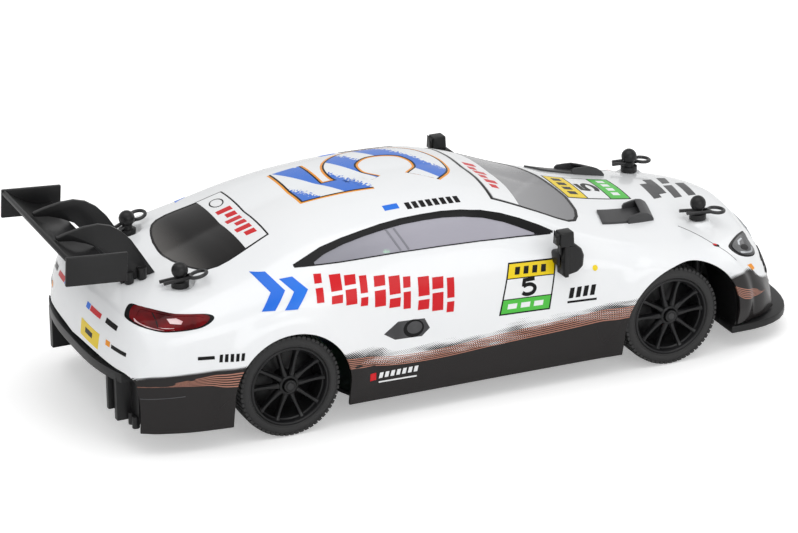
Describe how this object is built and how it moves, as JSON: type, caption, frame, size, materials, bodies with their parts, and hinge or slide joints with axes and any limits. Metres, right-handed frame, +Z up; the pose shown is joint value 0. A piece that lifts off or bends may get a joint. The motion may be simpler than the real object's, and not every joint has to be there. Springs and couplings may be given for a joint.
{
  "type": "radio-controlled drift car",
  "caption": "Small radio-controlled drift car: clip-on coupe shell with rear wing over a chassis with steered front wheels and a geared, driven rear axle.",
  "frame": {"origin": "on the ground, under the middle of the car's overall length and width", "axes": "+X towards the nose, +Y towards the car's left, +Z up"},
  "size_m": [0.3296, 0.132, 0.0868],
  "materials": {
    "shell_white": "gloss painted white",
    "glass_grey": "smoked grey",
    "trim_black": "moulded black",
    "tyre_black": "moulded rubber",
    "clip_black": "black coated wire",
    "steel": "plain steel",
    "gear_white": "moulded nylon",
    "battery_blue": "shrink wrap",
    "box_grey": "moulded grey",
    "led_green": "lit lens",
    "knob_red": "moulded red"
  },
  "bodies": {
    "car": {"body_shell": "shell_white", "windscreen": "glass_grey", "rear_window": "glass_grey", "side_window_left": "glass_grey", "side_window_right": "glass_grey", "front_splitter": "trim_black", "rear_diffuser": "trim_black", "wing_blade": "trim_black", "wing_endplate_left": "trim_black", "wing_endplate_right": "trim_black", "wing_upright_left": "trim_black", "wing_upright_right": "trim_black", "mirror_left": "trim_black", "mirror_right": "trim_black", "bonnet_vent_left": "trim_black", "bonnet_vent_right": "trim_black", "chassis_pan": "trim_black", "front_beam": "trim_black", "kingpins": "steel", "servo_case": "trim_black", "idler_shaft": "steel", "motor_can": "steel", "gearbox_case": "trim_black", "gearbox_cover": "trim_black", "axle_carriers": "trim_black", "axle_bearings": "steel", "battery_pack": "battery_blue", "battery_strap": "trim_black", "circuit_box": "box_grey", "status_led": "led_green", "switch_body": "trim_black", "body_posts_front": "trim_black", "body_posts_rear": "trim_black"},
    "steer_left": {"knuckle_left": "trim_black", "stub_axle_left": "steel", "wheel_nut_front_left": "trim_black"},
    "steer_right": {"knuckle_right": "trim_black", "stub_axle_right": "steel", "wheel_nut_front_right": "trim_black"},
    "rack": {"steering_rack": "trim_black"},
    "horn": {"servo_horn": "gear_white"},
    "wheel_front_left": {"rim_front_left": "trim_black", "tyre_front_left": "tyre_black"},
    "wheel_front_right": {"rim_front_right": "trim_black", "tyre_front_right": "tyre_black"},
    "rear_wheels": {"rear_axle": "steel", "axle_gear": "gear_white", "rim_rear_left": "trim_black", "rim_rear_right": "trim_black", "tyre_rear_left": "tyre_black", "tyre_rear_right": "tyre_black", "wheel_nuts_rear": "trim_black"},
    "idler": {"idler_gear": "gear_white"},
    "pinion": {"motor_pinion": "steel"},
    "switch": {"switch_knob": "knob_red"},
    "clip_front_left": {"body_clip_front_left": "clip_black"},
    "clip_front_right": {"body_clip_front_right": "clip_black"},
    "clip_rear_left": {"body_clip_rear_left": "clip_black"},
    "clip_rear_right": {"body_clip_rear_right": "clip_black"}
  },
  "joints": [
    {"name": "steer_left_pivot", "type": "hinge", "parent": "car", "child": "steer_left", "pos_m": [0.0948, 0.037, 0.022], "axis": [0, 0, 1], "range_deg": [-25, 25]},
    {"name": "steer_right_pivot", "type": "hinge", "parent": "car", "child": "steer_right", "pos_m": [0.0948, -0.037, 0.022], "axis": [0, 0, 1], "range_deg": [-25, 25]},
    {"name": "rack_slide", "type": "slide", "parent": "car", "child": "rack", "axis": [0, 1, 0], "range_m": [-0.0035, 0.0035]},
    {"name": "servo_turn", "type": "hinge", "parent": "car", "child": "horn", "pos_m": [0.0788, 0, 0.025], "axis": [0, 0, 1], "range_deg": [-25, 25]},
    {"name": "front_left_spin", "type": "hinge", "parent": "steer_left", "child": "wheel_front_left", "pos_m": [0.0948, 0.05, 0.022], "axis": [0, 1, 0], "continuous": true},
    {"name": "front_right_spin", "type": "hinge", "parent": "steer_right", "child": "wheel_front_right", "pos_m": [0.0948, -0.05, 0.022], "axis": [0, 1, 0], "continuous": true},
    {"name": "rear_axle_spin", "type": "hinge", "parent": "car", "child": "rear_wheels", "pos_m": [-0.0782, 0, 0.022], "axis": [0, 1, 0], "continuous": true},
    {"name": "idler_spin", "type": "hinge", "parent": "car", "child": "idler", "pos_m": [-0.0664, 0.018, 0.03026], "axis": [0, 1, 0], "continuous": true},
    {"name": "motor_spin", "type": "hinge", "parent": "car", "child": "pinion", "pos_m": [-0.05335, 0.015, 0.02417], "axis": [0, 1, 0], "continuous": true},
    {"name": "power_switch", "type": "slide", "parent": "car", "child": "switch", "axis": [1, 0, 0], "range_m": [0, 0.002]},
    {"name": "clip_front_left_pull", "type": "slide", "parent": "car", "child": "clip_front_left", "axis": [0.9938, 0.0869, -0.0698], "range_m": [0, 0.011]},
    {"name": "clip_front_right_pull", "type": "slide", "parent": "car", "child": "clip_front_right", "axis": [0.9938, -0.0869, -0.0698], "range_m": [0, 0.011]},
    {"name": "clip_rear_left_pull", "type": "slide", "parent": "car", "child": "clip_rear_left", "axis": [0.8864, 0.3947, 0.2419], "range_m": [0, 0.011]},
    {"name": "clip_rear_right_pull", "type": "slide", "parent": "car", "child": "clip_rear_right", "axis": [0.8864, -0.3947, 0.2419], "range_m": [0, 0.011]}
  ],
  "couplings": [
    {"joint": "steer_right_pivot", "follows": "steer_left_pivot", "ratio": 1},
    {"joint": "rack_slide", "follows": "steer_left_pivot", "m_per_rad": -0.008},
    {"joint": "servo_turn", "follows": "steer_left_pivot", "ratio": -1},
    {"joint": "idler_spin", "follows": "rear_axle_spin", "ratio": -2.4286},
    {"joint": "motor_spin", "follows": "rear_axle_spin", "ratio": 7.2857}
  ]
}
